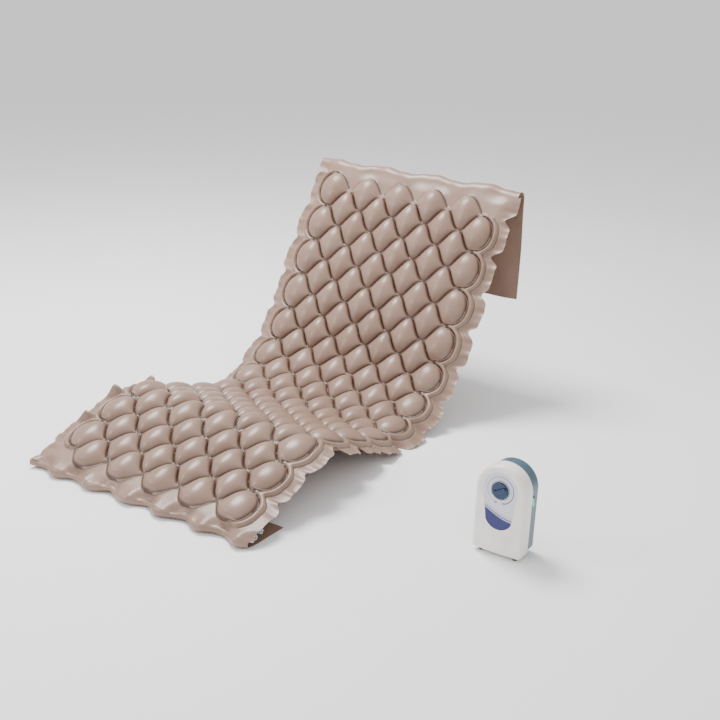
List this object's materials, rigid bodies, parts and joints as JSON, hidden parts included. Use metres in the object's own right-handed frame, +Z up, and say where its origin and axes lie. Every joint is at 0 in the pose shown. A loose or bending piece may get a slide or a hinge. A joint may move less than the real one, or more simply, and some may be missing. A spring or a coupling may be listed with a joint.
{
  "type": "pressure relief mattress",
  "caption": "Air-cell overlay mattress in rows of pillow-shaped cells with folded end flaps, lying in a profiled bed shape, with its arch-topped air pump.",
  "frame": {"origin": "middle of the footprint at floor level", "axes": "+X towards the head, +Y to the side away from the pump, +Z up"},
  "size_m": [1.6409, 1.546, 0.786],
  "materials": {
    "vinyl_film": "satin",
    "clear_tube": "satin",
    "grey_plastic": "satin",
    "warm_white_plastic": "satin",
    "slate_blue_plastic": "gloss",
    "panel_print": "satin",
    "black_plastic": "satin",
    "board_green": "satin",
    "brass_pins": "satin",
    "steel": "satin",
    "rubber_black": "matte",
    "copper_wire": "satin",
    "filter_foam": "matte",
    "blue_plastic": "gloss",
    "green_plastic": "gloss"
  },
  "bodies": {
    "seat_section": {"seat_cells_a": "vinyl_film", "seat_cells_b": "vinyl_film", "seat_channels": "vinyl_film", "seat_border": "vinyl_film"},
    "calf_section": {"calf_cells_a": "vinyl_film", "calf_cells_b": "vinyl_film", "calf_channels": "vinyl_film", "calf_border": "vinyl_film", "inlet_tubes": "clear_tube", "inlet_couplings": "grey_plastic"},
    "hip_strip_1": {"hip_strip_1_cells": "vinyl_film", "hip_strip_1_channels": "vinyl_film", "hip_strip_1_border": "vinyl_film"},
    "hip_strip_2": {"hip_strip_2_cells": "vinyl_film", "hip_strip_2_channels": "vinyl_film", "hip_strip_2_border": "vinyl_film"},
    "hip_strip_3": {"hip_strip_3_cells": "vinyl_film", "hip_strip_3_channels": "vinyl_film", "hip_strip_3_border": "vinyl_film"},
    "back_section": {"back_cells_a": "vinyl_film", "back_cells_b": "vinyl_film", "back_channels": "vinyl_film", "back_border": "vinyl_film"},
    "head_flap": {"head_flap": "vinyl_film"},
    "foot_flap": {"foot_flap": "vinyl_film"},
    "pump_case": {"front_case": "warm_white_plastic", "rear_case": "slate_blue_plastic", "label_panel": "panel_print", "dial_bezel": "grey_plastic", "potentiometer": "black_plastic", "circuit_board": "board_green", "switch_bezel": "black_plastic", "mains_inlet": "black_plastic", "inlet_pins": "brass_pins", "fuse_holder": "black_plastic", "case_screws": "steel", "hook_brackets": "slate_blue_plastic", "rubber_feet": "rubber_black", "magnet_core": "steel", "magnet_coil": "copper_wire", "arm_frame": "steel", "diaphragms": "rubber_black", "pump_heads": "black_plastic", "valve_block": "grey_plastic", "outlet_nozzles": "grey_plastic", "timing_motor": "steel", "air_tubes": "clear_tube", "air_filter": "filter_foam"},
    "pressure_dial": {"dial_knob": "blue_plastic", "dial_shaft": "steel"},
    "power_switch": {"switch_rocker": "green_plastic", "rocker_axle": "steel"},
    "left_hook": {"hook_left": "grey_plastic"},
    "right_hook": {"hook_right": "grey_plastic"},
    "left_armature": {"left_arm": "steel", "left_magnet": "steel"},
    "right_armature": {"right_arm": "steel", "right_magnet": "steel"},
    "air_distributor": {"valve_rotor": "grey_plastic"}
  },
  "joints": [
    {"name": "knee_bend", "type": "hinge", "parent": "seat_section", "child": "calf_section", "pos_m": [-0.39247, 0.323, 0.15786], "axis": [0, 1, 0], "range_deg": [-10, 36]},
    {"name": "back_bend_1", "type": "hinge", "parent": "seat_section", "child": "hip_strip_1", "pos_m": [0.02648, 0.323, 0.03741], "axis": [0, -1, 0], "range_deg": [-19, 4]},
    {"name": "back_bend_2", "type": "hinge", "parent": "hip_strip_1", "child": "hip_strip_2", "pos_m": [0.15891, 0.323, 0.04036], "axis": [0, -1, 0], "range_deg": [-19, 4]},
    {"name": "back_bend_3", "type": "hinge", "parent": "hip_strip_2", "child": "hip_strip_3", "pos_m": [0.28319, 0.323, 0.0862], "axis": [0, -1, 0], "range_deg": [-19, 4]},
    {"name": "back_bend_4", "type": "hinge", "parent": "hip_strip_3", "child": "back_section", "pos_m": [0.3858, 0.323, 0.16997], "axis": [0, -1, 0], "range_deg": [-19, 4]},
    {"name": "head_flap_fold", "type": "hinge", "parent": "back_section", "child": "head_flap", "pos_m": [0.76263, 0.323, 0.76729], "axis": [0, -1, 0], "range_deg": [-10, 140]},
    {"name": "foot_flap_fold", "type": "hinge", "parent": "calf_section", "child": "foot_flap", "pos_m": [-0.80719, 0.323, 0.0314], "axis": [0, 1, 0], "range_deg": [0, 135]},
    {"name": "pump_lift", "type": "slide", "parent": "seat_section", "child": "pump_case", "axis": [0, 0, 1], "range_m": [0, 0.3]},
    {"name": "dial_turn", "type": "hinge", "parent": "pump_case", "child": "pressure_dial", "pos_m": [-0.35705, -0.695, 0.208], "axis": [-1, 0, 0], "range_deg": [-135, 135]},
    {"name": "switch_rock", "type": "hinge", "parent": "pump_case", "child": "power_switch", "pos_m": [-0.35705, -0.7655, 0.17], "axis": [-1, 0, 0], "range_deg": [-16, 0]},
    {"name": "left_hook_fold", "type": "hinge", "parent": "pump_case", "child": "left_hook", "pos_m": [-0.29905, -0.653, 0.168], "axis": [0, 1, 0], "range_deg": [0, 90]},
    {"name": "right_hook_fold", "type": "hinge", "parent": "pump_case", "child": "right_hook", "pos_m": [-0.29905, -0.737, 0.168], "axis": [0, 1, 0], "range_deg": [0, 90]},
    {"name": "left_arm_swing", "type": "hinge", "parent": "pump_case", "child": "left_armature", "pos_m": [-0.34005, -0.661, 0.13], "axis": [1, 0, 0], "range_deg": [-1.2, 1.2], "stiffness_Nm_per_rad": 1},
    {"name": "right_arm_swing", "type": "hinge", "parent": "pump_case", "child": "right_armature", "pos_m": [-0.34005, -0.729, 0.13], "axis": [1, 0, 0], "range_deg": [-1.2, 1.2], "stiffness_Nm_per_rad": 1},
    {"name": "distributor_turn", "type": "hinge", "parent": "pump_case", "child": "air_distributor", "pos_m": [-0.35705, -0.647, 0.046], "axis": [-1, 0, 0], "continuous": true}
  ],
  "couplings": [
    {"joint": "right_arm_swing", "follows": "left_arm_swing", "ratio": -1}
  ]
}
